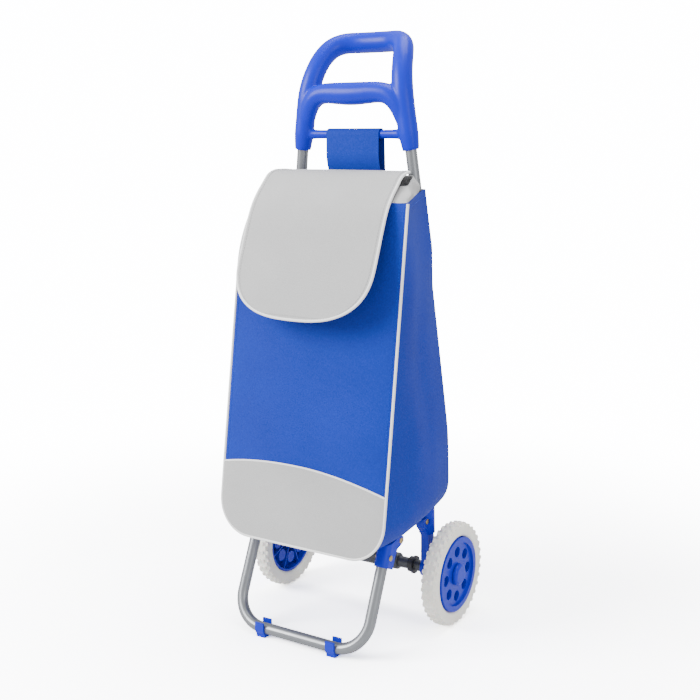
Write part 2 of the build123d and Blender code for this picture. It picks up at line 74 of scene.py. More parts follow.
def room_strength(tree):
    """Two sockets: whether the camera looks here, and how bright the room then is."""
    seen = tree.nodes.new("ShaderNodeLightPath").outputs["Is Camera Ray"]
    power = tree.nodes.new("ShaderNodeMapRange")
    power.inputs["To Min"].default_value = ROOM_LIGHT
    power.inputs["To Max"].default_value = ROOM_GLOW
    tree.links.new(seen, power.inputs["Value"])
    return seen, power.outputs["Result"]


world = bpy.data.worlds.new("white_room")
bpy.context.scene.world = world
world.use_nodes = True
tree = world.node_tree
background = tree.nodes["Background"]
background.inputs["Color"].default_value = ROOM_WHITE
tree.links.new(room_strength(tree)[1], background.inputs["Strength"])

bpy.ops.mesh.primitive_circle_add(vertices=64, radius=FLOOR_RADIUS, fill_type="NGON",
                                  location=(0, 0, 0))
floor = bpy.context.object
floor.name = "studio_floor"
floor_paint = bpy.data.materials.new("studio_floor")
floor_paint.use_nodes = True
tree = floor_paint.node_tree
tree.nodes.remove(tree.nodes["Principled BSDF"])
matt = tree.nodes.new("ShaderNodeBsdfDiffuse")
seen, strength = room_strength(tree)
tone = tree.nodes.new("ShaderNodeMix")
tone.data_type = "RGBA"
tone.inputs[6].default_value = FLOOR_LIT
tone.inputs[7].default_value = FLOOR_SEEN
tree.links.new(seen, tone.inputs[0])
tree.links.new(tone.outputs[2], matt.inputs["Color"])
place = tree.nodes.new("ShaderNodeTexCoord")
reach = tree.nodes.new("ShaderNodeVectorMath")
reach.operation = "LENGTH"
fade = tree.nodes.new("ShaderNodeMapRange")
fade.interpolation_type = "SMOOTHERSTEP"
fade.inputs["From Min"].default_value = FADE_FROM
fade.inputs["From Max"].default_value = FADE_TO
glow = tree.nodes.new("ShaderNodeEmission")
glow.inputs["Color"].default_value = ROOM_WHITE
tree.links.new(strength, glow.inputs["Strength"])
blend_out = tree.nodes.new("ShaderNodeMixShader")
tree.links.new(place.outputs["Object"], reach.inputs[0])
tree.links.new(reach.outputs["Value"], fade.inputs["Value"])
tree.links.new(fade.outputs["Result"], blend_out.inputs[0])
tree.links.new(matt.outputs[0], blend_out.inputs[1])
tree.links.new(glow.outputs[0], blend_out.inputs[2])
tree.links.new(blend_out.outputs[0], tree.nodes["Material Output"].inputs["Surface"])
floor.data.materials.append(floor_paint)

LIT_MIDDLE = Vector((0, 0, 0.45))
LAMPS = {  # name: (place, watts, size)
    "broad_left": ((-1.9, -2.3, 1.9), 165, 1.8),
    "weak_right": ((2.4, -1.0, 1.2), 16, 1.4),
    "overhead": ((0.2, 0.3, 2.8), 52, 1.6),
}
for name, (spot, watts, size) in LAMPS.items():
    bpy.ops.object.light_add(type="AREA", location=spot)
    lamp = bpy.context.object
    lamp.name = name
    lamp.data.energy = watts
    lamp.data.size = size
    lamp.rotation_euler = (LIT_MIDDLE - Vector(spot)).to_track_quat("-Z", "Y").to_euler()

# ---- wheels: hub, centre cap and bush ----------------------------------------------------
# Each hub is one moulding in glossy blue plastic with eight round cups, a domed cap is
# pressed over its middle, and a pale nylon bush runs on the axle rod.


def node_group(name, inputs, outputs):
    """An empty shader group; sockets are {name: "V" vector, "C" colour or a default number}."""
    group = bpy.data.node_groups.new(name, "ShaderNodeTree")
    for label, value in inputs.items():
        kind = {"V": "NodeSocketVector", "C": "NodeSocketColor"}.get(value, "NodeSocketFloat")
        socket = group.interface.new_socket(name=label, in_out="INPUT", socket_type=kind)
        if kind == "NodeSocketFloat":
            socket.default_value = value
    for label, value in outputs.items():
        kind = {"V": "NodeSocketVector", "C": "NodeSocketColor"}.get(value, "NodeSocketFloat")
        group.interface.new_socket(name=label, in_out="OUTPUT", socket_type=kind)
    return group, group.nodes.new("NodeGroupInput"), group.nodes.new("NodeGroupOutput")


def add_noise(tree, vector, scale, detail):
    """A noise texture; scale is a number or a socket."""
    node = tree.nodes.new("ShaderNodeTexNoise")
    node.inputs["Detail"].default_value = detail
    tree.links.new(vector, node.inputs["Vector"])
    if isinstance(scale, (int, float)):
        node.inputs["Scale"].default_value = scale
    else:
        tree.links.new(scale, node.inputs["Scale"])
    return node.outputs["Fac"]


def add_math(tree, operation, a, b):
    """A sum or product of two numbers or sockets."""
    node = tree.nodes.new("ShaderNodeMath")
    node.operation = operation
    for socket, value in zip(node.inputs, (a, b)):
        if isinstance(value, (int, float)):
            socket.default_value = value
        else:
            tree.links.new(value, socket)
    return node.outputs[0]


def add_range(tree, value, low, high, to_low, to_high):
    """A value mapped from low..high to to_low..to_high, which may be sockets."""
    node = tree.nodes.new("ShaderNodeMapRange")
    node.inputs["From Min"].default_value = low
    node.inputs["From Max"].default_value = high
    for label, number in (("To Min", to_low), ("To Max", to_high)):
        if isinstance(number, (int, float)):
            node.inputs[label].default_value = number
        else:
            tree.links.new(number, node.inputs[label])
    tree.links.new(value, node.inputs["Value"])
    return node.outputs["Result"]


def add_mix(tree, factor, a, b):
    """A colour mix; a and b are colours or sockets."""
    node = tree.nodes.new("ShaderNodeMix")
    node.data_type = "RGBA"
    tree.links.new(factor, node.inputs[0])
    for socket, value in ((node.inputs[6], a), (node.inputs[7], b)):
        if isinstance(value, tuple):
            socket.default_value = value
        else:
            tree.links.new(value, socket)
    return node.outputs[2]


# Moulded or drawn surface: slow tone changes, fine grain, and a roughness that wanders.
surface_group, given, result = node_group(
    "surface_grain",
    {"Vector": "V", "Base": "C", "Tone": "C", "Grain": 600.0, "Cloud": 14.0,
     "Smooth": 0.3, "Rough": 0.4},
    {"Color": "C", "Roughness": 0, "Height": 0})
grain = add_noise(surface_group, given.outputs["Vector"], given.outputs["Grain"], 4)
cloud = add_noise(surface_group, given.outputs["Vector"], given.outputs["Cloud"], 3)
patchy = add_range(surface_group, cloud, 0.3, 0.7, 0.0, 1.0)
fine = add_range(surface_group, grain, 0.3, 0.7, 0.0, 1.0)
both = add_math(surface_group, "ADD", add_math(surface_group, "MULTIPLY", patchy, 0.65),
                add_math(surface_group, "MULTIPLY", fine, 0.35))
surface_group.links.new(add_mix(surface_group, both, given.outputs["Base"], given.outputs["Tone"]),
                        result.inputs["Color"])
surface_group.links.new(add_range(surface_group, both, 0.0, 1.0, given.outputs["Smooth"],
                                  given.outputs["Rough"]), result.inputs["Roughness"])
surface_group.links.new(grain, result.inputs["Height"])


def group_material(name, group, values, bump, depth, stretch=(1, 1, 1), **fixed):
    """A finish from a shader group; fixed holds plain values for the shader's own sockets."""
    material = bpy.data.materials.new(name)
    material.use_nodes = True
    tree = material.node_tree
    shader = tree.nodes["Principled BSDF"]
    place = tree.nodes.new("ShaderNodeTexCoord")
    turn = tree.nodes.new("ShaderNodeMapping")
    turn.inputs["Scale"].default_value = stretch
    tree.links.new(place.outputs["Object"], turn.inputs["Vector"])
    node = tree.nodes.new("ShaderNodeGroup")
    node.node_tree = group
    tree.links.new(turn.outputs["Vector"], node.inputs["Vector"])
    for label, value in values.items():
        node.inputs[label].default_value = value
    tree.links.new(node.outputs["Color"], shader.inputs["Base Color"])
    tree.links.new(node.outputs["Roughness"], shader.inputs["Roughness"])
    relief = tree.nodes.new("ShaderNodeBump")
    relief.inputs["Strength"].default_value = bump
    relief.inputs["Distance"].default_value = depth
    tree.links.new(node.outputs["Height"], relief.inputs["Height"])
    tree.links.new(relief.outputs["Normal"], shader.inputs["Normal"])
    for label, value in fixed.items():
        shader.inputs[label.replace("_", " ")].default_value = value
    return material


def surface_material(name, base, tone, rough, grain=600.0, cloud=14.0, bump=0.05, depth=0.0004,
                     stretch=(1, 1, 1), **fixed):
    """A moulded, painted or drawn finish; rough is its smoothest and its roughest value."""
    values = {"Base": (*base, 1), "Tone": (*tone, 1), "Grain": grain, "Cloud": cloud,
              "Smooth": rough[0], "Rough": rough[1]}
    return group_material(name, surface_group, values, bump, depth, stretch, **fixed)


def paint(material, *names):
    """Gives carried-over CAD pieces a finish."""
    for name in names:
        mesh = nodes[name].data
        mesh.materials.clear()
        mesh.materials.append(material)


hub_blue = surface_material("hub_blue", (0.0, 0.011, 0.44), (0.0, 0.015, 0.52), (0.26, 0.36),
                            grain=900, cloud=30, bump=0.06, Specular_IOR_Level=0.25)
bush_nylon = surface_material("bush_nylon", (0.74, 0.73, 0.69), (0.66, 0.65, 0.6), (0.4, 0.5))
paint(hub_blue, "wheel_hub_left", "wheel_hub_right", "wheel_cap_left", "wheel_cap_right")
paint(bush_nylon, "wheel_bush_left", "wheel_bush_right")

# ---- wheels: foam tyres ------------------------------------------------------------------
# Off-white foamed tyres, moulded with round-ended studs over the tread and the shoulders,
# and stretched over the hub's rim. Their side walls are plain.
tyre_low, tyre_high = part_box("wheel_tyre_right")
hub_low, hub_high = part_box("wheel_hub_right")
axle_y, axle_z = (tyre_low.y + tyre_high.y) / 2, (tyre_low.z + tyre_high.z) / 2
wheel_x = (tyre_low.x + tyre_high.x) / 2
STUD_HEIGHT = 0.002
tyre_radius = (tyre_high.y - tyre_low.y) / 2 - STUD_HEIGHT
bore_radius = (hub_high.y - hub_low.y) / 2
ring_radius = (tyre_radius + bore_radius) / 2
half_depth = (tyre_radius - bore_radius) / 2
half_width = (tyre_high.x - tyre_low.x) / 2 - STUD_HEIGHT / 2
STUDS_ROUND, SECTION_STEPS = 68, 16
STUD_BANDS, TREAD_FROM = 3.2, 0.42      # across half the tread, and how far out studs begin

bpy.ops.object.select_all(action="DESELECT")
bpy.ops.mesh.primitive_torus_add(
    location=(wheel_x, axle_y, axle_z), rotation=(0, pi / 2, 0), major_segments=STUDS_ROUND,
    minor_segments=SECTION_STEPS, major_radius=ring_radius, minor_radius=half_depth)
tyre = bpy.context.object
tyre.name = "foam_tyre_right"
bpy.ops.object.transform_apply(location=True, rotation=True, scale=True)


def squared(share, power=0.62):
    """A section coordinate pushed out from round towards square."""
    return abs(share) ** power * (1 if share > 0 else -1)


for vertex in tyre.data.vertices:
    out = Vector((0, vertex.co.y - axle_y, vertex.co.z - axle_z))
    across = squared((vertex.co.x - wheel_x) / half_depth)
    up = squared((out.length - ring_radius) / half_depth)
    out = out.normalized() * (ring_radius + up * half_depth)
    vertex.co = (wheel_x + across * half_width, axle_y + out.y, axle_z + out.z)

bpy.ops.object.mode_set(mode="EDIT")
bpy.ops.mesh.select_mode(type="FACE")
bpy.ops.mesh.select_all(action="SELECT")
bpy.ops.mesh.normals_make_consistent(inside=False)
bpy.ops.mesh.select_all(action="DESELECT")
bpy.ops.object.mode_set(mode="OBJECT")
for face in tyre.data.polygons:
    out = Vector((0, face.center.y - axle_y, face.center.z - axle_z))
    step = int(np.arctan2(out.z, out.y) / (2 * pi) * STUDS_ROUND + STUDS_ROUND)
    across = (face.center.x - wheel_x) / half_width
    up = (out.length - ring_radius) / half_depth
    band = int((across + 1) * STUD_BANDS)
    face.select = up > TREAD_FROM and (step + band) % 2 == 0
bpy.ops.object.mode_set(mode="EDIT")
bpy.ops.mesh.inset(thickness=0.0003, use_individual=True)
bpy.ops.transform.shrink_fatten(value=STUD_HEIGHT)
bpy.ops.mesh.inset(thickness=0.0008, use_individual=True)
bpy.ops.transform.shrink_fatten(value=STUD_HEIGHT * 0.25)
bpy.ops.object.mode_set(mode="OBJECT")
rounding = tyre.modifiers.new("rounding", "SUBSURF")
rounding.levels = rounding.render_levels = 2
bpy.ops.object.modifier_apply(modifier=rounding.name)
bpy.ops.object.shade_smooth()
tyre_foam = surface_material("tyre_foam", (0.97, 0.945, 0.87), (0.9, 0.87, 0.78), (0.55, 0.7),
                             grain=1500, cloud=40, bump=0.3, depth=0.0003,
                             Subsurface_Weight=0.08, Subsurface_Scale=0.004)
tyre.data.materials.append(tyre_foam)
bpy.ops.object.duplicate()
other_tyre = bpy.context.object
other_tyre.name = "foam_tyre_left"
bpy.ops.transform.translate(value=(-2 * wheel_x, 0, 0))
bpy.ops.object.transform_apply(location=True, rotation=True, scale=True)
for piece, side in ((tyre, "right"), (other_tyre, "left")):
    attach(piece, "wheel_" + side)
    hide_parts("wheel_tyre_" + side)

# ---- axle --------------------------------------------------------------------------------
# A bright steel rod in a dark painted tube, with a thicker sleeve in the middle, a plastic
# collar at each end, spacers by the wheels and pressed-on end nuts.
bright_steel = surface_material("bright_steel", (0.58, 0.58, 0.59), (0.5, 0.5, 0.52), (0.25, 0.4),
                                grain=300, bump=0.04, stretch=(0.05, 1, 1), Metallic=1.0)
dark_paint = surface_material("dark_paint", (0.07, 0.073, 0.08), (0.1, 0.104, 0.112),
                              (0.32, 0.46), grain=800, bump=0.1, Metallic=0.5)
collar_black = surface_material("collar_black", (0.02, 0.021, 0.024), (0.035, 0.036, 0.04),
                                (0.4, 0.55), grain=900, bump=0.15)
paint(bright_steel, "axle_rod", "push_nut_left", "push_nut_right")
paint(dark_paint, "axle_tube", "axle_stiffener")
paint(collar_black, "axle_collar_left", "axle_collar_right", "wheel_spacer_left",
      "wheel_spacer_right")

# ---- uprights and front leg --------------------------------------------------------------
# Thin-walled steel tube in silver metallic paint: two leaning uprights, and one tube bent
# into the U of the front leg.
silver_paint = surface_material("silver_paint", (0.27, 0.28, 0.295), (0.21, 0.218, 0.23),
                                (0.3, 0.42), grain=2500, cloud=20, bump=0.08, depth=0.0002,
                                Metallic=0.75, Coat_Weight=0.25, Coat_Roughness=0.2)
paint(silver_paint, "upright_tube_left", "upright_tube_right", "leg_tube")

# ---- folding platform, brackets, rivets and feet -----------------------------------------
# Flat steel bars joined by three rods fold between blue plastic brackets. Brass-coloured
# rivets are the pivots, and two blue clips on the leg's bar are its feet.
zinc_steel = surface_material("zinc_steel", (0.3, 0.3, 0.31), (0.2, 0.2, 0.21), (0.35, 0.5),
                              grain=500, cloud=35, bump=0.08, Metallic=0.9)
bracket_blue = surface_material("bracket_blue", (0.0, 0.012, 0.46), (0.0, 0.016, 0.54),
                                (0.3, 0.42), grain=1200, cloud=25, bump=0.12,
                                Specular_IOR_Level=0.3)
rivet_brass = surface_material("rivet_brass", (0.55, 0.42, 0.2), (0.42, 0.31, 0.14), (0.3, 0.45),
                               grain=700, cloud=60, bump=0.08, Metallic=1.0)
paint(zinc_steel, "platform_bar_left", "platform_bar_right", "platform_rod_rear",
      "platform_rod_middle", "platform_rod_front")
for side in ("left", "right"):
    paint(bracket_blue, f"rear_bracket_{side}", f"front_bracket_{side}", f"foot_clip_{side}")
    paint(rivet_brass, f"pivot_rivet_{side}", f"leg_rivet_{side}", f"knee_rivet_{side}")
    paint(bush_nylon, f"pivot_spacer_{side}")

# ---- handle ------------------------------------------------------------------------------
# One glossy blue moulding: two sleeves glued over the uprights, a crossbar for the strap, a
# lower grip with a belly, and the upper grip that leans back. All join in soft fillets.
UPRIGHT_LEAN = 0.0542


def tube_y(z):
    """Centre of the uprights at a height."""
    return axle_y - (z - axle_z) * UPRIGHT_LEAN


def empty_curve(name):
    """A curve object with no splines in it yet."""
    bpy.ops.object.select_all(action="DESELECT")
    bpy.ops.curve.primitive_nurbs_path_add(location=(0, 0, 0))
    curve = bpy.context.object
    curve.name = name
    curve.data.splines.clear()
    curve.data.use_path = False
    curve.data.use_fill_caps = True
    return curve


def rounded(curve, radius, resolution):
    """The active curve with a round section, as a mesh."""
    curve.data.bevel_depth = radius
    curve.data.bevel_resolution = resolution
    bpy.ops.object.convert(target="MESH")
    return bpy.context.object


def round_bar(name, stations):
    """A bar through (x, y, z, radius) stations, as a mesh; y is from the axle."""
    bar = empty_curve(name)
    spline = bar.data.splines.new("NURBS")
    spline.points.add(len(stations) - 1)
    for point, (x, y, z, radius) in zip(spline.points, stations):
        point.co = (x, y + axle_y, z, 1)
        point.radius = radius
    spline.order_u = 3
    spline.use_endpoint_u = True
    spline.resolution_u = 6
    return rounded(bar, 1.0, 8)


def both_halves(stations):
    """The stations of one half, then the same ones mirrored."""
    return stations + [(-x, y, z, radius) for x, y, z, radius in reversed(stations) if x > 0]


arch_half = [
    (0.0998, -0.0368, 0.7635, 0.0130), (0.0982, -0.0377, 0.7750, 0.0143),
    (0.0960, -0.0385, 0.7877, 0.0158), (0.0935, -0.0393, 0.8060, 0.0156),
    (0.0905, -0.0402, 0.8260, 0.0158), (0.0870, -0.0402, 0.8460, 0.0165),
    (0.0835, -0.0375, 0.8640, 0.0168), (0.0795, -0.0310, 0.8840, 0.0164),
    (0.0745, -0.0190, 0.9050, 0.0162), (0.0660, -0.0020, 0.9230, 0.0162),
    (0.0500, 0.0120, 0.9305, 0.0163), (0.0300, 0.0200, 0.9308, 0.0165),
    (0.0, 0.0220, 0.9308, 0.0165)]
grip_half = [
    (0.0900, -0.0400, 0.8040, 0.0120), (0.0860, -0.0425, 0.8200, 0.0138),
    (0.0780, -0.0448, 0.8360, 0.0150), (0.0660, -0.0460, 0.8470, 0.0156),
    (0.0500, -0.0465, 0.8510, 0.0157), (0.0260, -0.0468, 0.8500, 0.0170),
    (0.0, -0.0470, 0.8490, 0.0180)]
handle = round_bar("moulded_handle", both_halves(arch_half))
grip = round_bar("lower_grip", both_halves(grip_half))
CROSSBAR_Z, CROSSBAR_R = 0.7877, 0.007
crossbar_y = tube_y(CROSSBAR_Z) - axle_y
crossbar = round_bar("crossbar", both_halves(
    [(x, crossbar_y, CROSSBAR_Z, CROSSBAR_R * flare)
     for x, flare in ((0.088, 1.35), (0.078, 1), (0.04, 1), (0.0, 1))]))
for part in (handle, grip, crossbar):
    part.select_set(True)
bpy.context.view_layer.objects.active = handle
bpy.ops.object.join()
melt = handle.modifiers.new("melt", "REMESH")
melt.mode = "VOXEL"
melt.voxel_size = 0.0016
melt.use_smooth_shade = True
bpy.ops.object.modifier_apply(modifier=melt.name)
soften = handle.modifiers.new("soften", "SMOOTH")
soften.factor = 0.5
soften.iterations = 9
bpy.ops.object.modifier_apply(modifier=soften.name)
bpy.ops.object.shade_smooth()
gloss_blue = surface_material("gloss_blue", (0.0, 0.011, 0.5), (0.0, 0.015, 0.57), (0.32, 0.4),
                              grain=700, cloud=18, bump=0.035, Specular_IOR_Level=0.22,
                              Coat_Weight=0.08, Coat_Roughness=0.3)
handle.data.materials.clear()
handle.data.materials.append(gloss_blue)
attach(handle, "frame")
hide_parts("handle")

# ---- bag: side and bottom strip ----------------------------------------------------------
# Blue spunbonded polypropylene, cut as one long strip that runs down one side, under the
# bag and up the other. It is sewn to the front and back panels and bellies out between.
CORNER_R = 0.057
FRONT_SLOPE = 0.1409
front_low, front_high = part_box("bag_front_panel")
back_low, back_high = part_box("bag_back_panel")
FRONT_LOW_Z, FRONT_TOP_Z = front_low.z, front_high.z
BACK_LOW_Z, BACK_TOP_Z = back_low.z, back_high.z
FRONT_HALF, FRONT_TOP_HALF = front_high.x, 0.148
BACK_HALF, BACK_TOP_HALF = back_high.x, 0.113
MIDDLE_LOW_Z, SIDE_BELLY = 0.181, 0.009
CLOTH_T = 0.0012
CORNER_SAG = 0.008        # the lower corners hang below the platform on both sides
FLOOR_SAG = 0.002
BACK_BEHIND, POCKET_AHEAD = 0.0105, 0.0115      # the two back layers, from the uprights' centre
CORNER_FROM, CORNER_TO = 0.1, 0.25      # shares of a half outline where its round corner lies
TAPER_FROM = 0.25         # the share of its height where a panel begins to narrow


def front_y(z):
    """Outer face of the front panel's edge at a height."""
    return front_low.y + (z - FRONT_LOW_Z) * FRONT_SLOPE


def back_y(z):
    """Outer face of the back panel at a height."""
    return tube_y(z) + BACK_BEHIND


def outline(share, low_half, top_half, height):
    """(x, height) on the right half of a panel's edge: 0 is under its middle, 1 at the mouth."""
    if share < CORNER_FROM:
        return share / CORNER_FROM * (low_half - CORNER_R), 0.0
    if share < CORNER_TO:
        turn = (share - CORNER_FROM) / (CORNER_TO - CORNER_FROM) * pi / 2
        return low_half - CORNER_R + CORNER_R * sin(turn), CORNER_R - CORNER_R * cos(turn)
    up = CORNER_R + (share - CORNER_TO) / (1 - CORNER_TO) * (height - CORNER_R)
    taper = (up / height - TAPER_FROM) / (1 - TAPER_FROM)
    return low_half + (top_half - low_half) * (taper + sqrt(taper * taper + 0.002)) / 2, up


def cloth_grid(name, across, along, place, material, thickness, side=-1):
    """A sheet shaped from a grid: place(u, v) puts each point, with u and v from -1 to 1.

    Its thickness grows to one side of those points (1 or -1) or to both (0).
    """
    bpy.ops.object.select_all(action="DESELECT")
    bpy.ops.mesh.primitive_grid_add(x_subdivisions=across, y_subdivisions=along, size=2)
    sheet = bpy.context.object
    sheet.name = name
    for vertex in sheet.data.vertices:
        vertex.co = place(vertex.co.x, vertex.co.y)
    bpy.ops.object.mode_set(mode="EDIT")
    bpy.ops.mesh.select_all(action="SELECT")
    bpy.ops.mesh.remove_doubles(threshold=0.00001)
    bpy.ops.object.mode_set(mode="OBJECT")
    wall = sheet.modifiers.new("wall", "SOLIDIFY")
    wall.thickness = thickness
    wall.offset = side
    bpy.ops.object.modifier_apply(modifier=wall.name)
    bpy.ops.object.shade_smooth_by_angle(angle=radians(50))
    sheet.data.materials.append(material)
    return sheet


def crumple(x, y, z, size, depth, seed=0.0):
    """A soft uneven fold depth at a point."""
    return depth * noise.noise(Vector((x / size + seed, y / size - seed, z / size)))


UPRIGHT_X, UPRIGHT_BEND_Z, UPRIGHT_INWARD = 0.118, 0.616, 0.1241
POCKET_ROOM, STRETCH_FROM_Z = 0.0108, 0.55
PULL_FROM_Z, PULL_IN = 0.585, 0.027


def stretched_back(x, z):
    """Half the bag's width at its back, where the uprights push the pockets outwards."""
    upright_x = UPRIGHT_X - max(0.0, z - UPRIGHT_BEND_Z) * UPRIGHT_INWARD
    return max(x, upright_x + POCKET_ROOM) if z > STRETCH_FROM_Z else x


def mouth_pull(x, z, depth):
    """The left corner of the mouth is drawn inwards under the flap; depth is 0 at the front."""
    rise = min(1.0, max(0.0, (z - PULL_FROM_Z) / (FRONT_TOP_Z - PULL_FROM_Z)))
    return PULL_IN * rise * rise * (1 - depth) if x < 0 else 0.0


# Spunbonded cloth: matted fibres, rows of small bonding dots and slow tone changes.
cloth_group, given, result = node_group(
    "spunbond", {"Vector": "V", "Base": "C", "Tone": "C", "Fibre": 620.0, "Dots": 420.0},
    {"Color": "C", "Roughness": 0, "Height": 0})
fibre = add_noise(cloth_group, given.outputs["Vector"], given.outputs["Fibre"], 3)
slow = add_noise(cloth_group, given.outputs["Vector"], 9.0, 4)
dots = cloth_group.nodes.new("ShaderNodeTexVoronoi")
dots.inputs["Randomness"].default_value = 0.35
cloth_group.links.new(given.outputs["Vector"], dots.inputs["Vector"])
cloth_group.links.new(given.outputs["Dots"], dots.inputs["Scale"])
dimple = add_range(cloth_group, dots.outputs["Distance"], 0.1, 0.45, 0.0, 1.0)
matted = add_range(cloth_group, fibre, 0.32, 0.68, 0.0, 1.0)
slow = add_range(cloth_group, slow, 0.3, 0.7, 0, 1)
tones = add_math(cloth_group, "ADD", add_math(cloth_group, "MULTIPLY", matted, 0.45),
                 add_math(cloth_group, "MULTIPLY", slow, 0.4))
tones = add_math(cloth_group, "ADD", tones, add_math(cloth_group, "MULTIPLY", dimple, 0.15))
cloth_group.links.new(add_mix(cloth_group, tones, given.outputs["Tone"], given.outputs["Base"]),
                      result.inputs["Color"])
cloth_group.links.new(add_range(cloth_group, matted, 0, 1, 0.86, 0.72),
                      result.inputs["Roughness"])
cloth_group.links.new(add_math(cloth_group, "ADD", add_math(cloth_group, "MULTIPLY", matted, 0.6),
                               add_math(cloth_group, "MULTIPLY", dimple, 0.4)),
                      result.inputs["Height"])


def cloth_material(name, base, tone, sheen, relief_depth=0.0007):
    """A spunbonded finish; sheen is the weight of its soft edge glow."""
    return group_material(name, cloth_group, {"Base": (*base, 1), "Tone": (*tone, 1)},
                          bump=0.5, depth=relief_depth, Sheen_Weight=sheen, Sheen_Roughness=0.4,
                          Specular_IOR_Level=0.3)


blue_cloth = cloth_material("blue_cloth", (0.002, 0.029, 0.39), (0.001, 0.016, 0.25), 0.04)


def strip_point(u, v):
    """On the strip: u runs round the bag from mouth to mouth, v from the front to the back."""
    t = (v + 1) / 2
    sections = (
        (FRONT_LOW_Z, FRONT_TOP_Z, FRONT_HALF, FRONT_TOP_HALF, front_y, front_y),
        (MIDDLE_LOW_Z, (FRONT_TOP_Z + BACK_TOP_Z) / 2, (FRONT_HALF + BACK_HALF) / 2 + SIDE_BELLY,
         (FRONT_TOP_HALF + BACK_TOP_HALF) / 2, front_y, back_y),
        (BACK_LOW_Z, BACK_TOP_Z, BACK_HALF, BACK_TOP_HALF, back_y, back_y))
    shares = ((1 - t) * (1 - 2 * t), 4 * t * (1 - t), t * (2 * t - 1))
    point = Vector()
    for (low, top, low_half, top_half, y_one, y_two), share in zip(sections, shares):
        x, up = outline(abs(u), low_half, top_half, top - low)
        z = low + up
        if y_one is back_y:
            x = stretched_back(x, z)
        point += share * Vector((x if u > 0 else -x, (y_one(z) + y_two(z)) / 2, z))
    # The sides are loose away from the seams, less so under the floor and by the mouth's hem.
    loose = sin(pi * t) * min(1, max(0, abs(u) - 0.12) * 6) * min(1, (1 - abs(u)) * 5 + 0.25)
    side = 1 if u > 0 else -1
    point.x += side * loose * (crumple(side, point.y, point.z * 0.35, 0.055, 0.0035, 2.0)
                               + crumple(side, point.y, point.z, 0.16, 0.006, 5.0))
    point.z += sin(pi * t) * (1 - min(1, abs(u) * 9)) * -FLOOR_SAG
    hang = max(0.0, 1 - ((abs(u) - 0.2) / 0.11) ** 2) * min(1.0, 3 * t)
    point.z -= CORNER_SAG * hang
    point.x += mouth_pull(u, point.z, t)
    return point


strip = cloth_grid("bag_side_strip", 160, 40, strip_point, blue_cloth, CLOTH_T, side=1)


def folds_with_frame(piece):
    """Gives the piece a mesh of its own."""
    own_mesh(piece)


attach(strip, "frame")
folds_with_frame(strip)
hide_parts("bag_side_left", "bag_side_right", "bag_bottom_panel")

# ---- bag: front panel --------------------------------------------------------------------
# The front panel is the same blue cloth on a thin foam interlining, so it stays smooth and
# crowns a little between its seams.
FRONT_CROWN = 0.012
front_height = FRONT_TOP_Z - FRONT_LOW_Z


def front_crown(x, up):
    """How far the front stands out at a point, with a soft unevenness that fades at its edges."""
    across = max(0.0, 1 - (x / FRONT_HALF) ** 2)
    upwards = max(0.0, sin(pi * min(1, up / front_height))) ** 0.8
    return (FRONT_CROWN * across ** 0.8 * upwards
            + across * upwards * crumple(x, 0, up, 0.13, 0.0045))


def panel_rows(low_half, top_half, height, share):
    """(half width, height) of a row of a panel, from 0 at its lower edge to 1 at the mouth."""
    return outline(CORNER_FROM + (1 - CORNER_FROM) * share, low_half, top_half, height)


def front_point(u, v, proud=0.0):
    """On the front panel: u across and v upwards, and how far proud of its cloth."""
    half, up = panel_rows(FRONT_HALF, FRONT_TOP_HALF, front_height, (v + 1) / 2)
    x = u * half
    pull = mouth_pull(-1, FRONT_LOW_Z + up, 0) * (1 - u) / 2
    return Vector((x + pull, front_y(FRONT_LOW_Z + up) - front_crown(x, up) - proud,
                   FRONT_LOW_Z + up))


front = cloth_grid("bag_front", 70, 120, front_point, blue_cloth, 0.002)
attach(front, "frame")
folds_with_frame(front)
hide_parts("bag_front_panel")

# ---- bag: back panel, tube pocket and floor board ----------------------------------------
# The back panel runs behind the uprights and a second layer in front of them, sewn as
# pockets that hold the bag to the frame. A thin board stiffens the bag's floor.


RIDGE_HEIGHT, RIDGE_X, RIDGE_SPREAD = 0.0015, 0.112, 0.012


def back_point(u, v):
    """On the back panel, which shows the uprights as two soft ridges."""
    half, up = panel_rows(BACK_HALF, BACK_TOP_HALF, BACK_TOP_Z - BACK_LOW_Z, (v + 1) / 2)
    z = BACK_LOW_Z + up
    x = u * stretched_back(half, z)
    ridge = RIDGE_HEIGHT * np.exp(-((abs(x) - RIDGE_X) / RIDGE_SPREAD) ** 2)
    slack = (1 - u * u) * crumple(x, 1, z, 0.09, 0.002, 7.0)
    return Vector((x, back_y(z) + ridge * min(1, up * 30) + slack - 0.0005, z))


def lining_point(u, v):
    """On the pockets' inner layer, in front of the uprights."""
    point = back_point(u * 0.985, v)
    return Vector((point.x, tube_y(point.z) - POCKET_AHEAD, point.z))


back = cloth_grid("bag_back", 70, 110, back_point, blue_cloth, CLOTH_T, side=1)
lining = cloth_grid("tube_pocket", 60, 90, lining_point, blue_cloth, CLOTH_T, side=1)
for piece, node, flat in ((back, "bag_back_panel", (0.309, 0.513)),
                          (lining, "bag_tube_pocket", (0.304, 0.513))):
    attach(piece, "frame")
    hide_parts(node)

board_low, board_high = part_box("bag_base_board")
bpy.ops.object.select_all(action="DESELECT")
bpy.ops.mesh.primitive_cube_add(size=1, location=(board_low + board_high) / 2,
                                scale=board_high - board_low)
board = bpy.context.object
board.name = "floor_board"
bpy.ops.object.transform_apply(location=True, rotation=True, scale=True)
corners = board.modifiers.new("corners", "BEVEL")
corners.width = 0.0008
corners.segments = 2
bpy.ops.object.modifier_apply(modifier=corners.name)
fibre_board = surface_material("fibre_board", (0.3, 0.22, 0.14), (0.22, 0.16, 0.1), (0.75, 0.9),
                               grain=900, cloud=50, bump=0.3)
board.data.materials.append(fibre_board)
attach(board, "frame")
folds_with_frame(board)
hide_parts("bag_base_board")

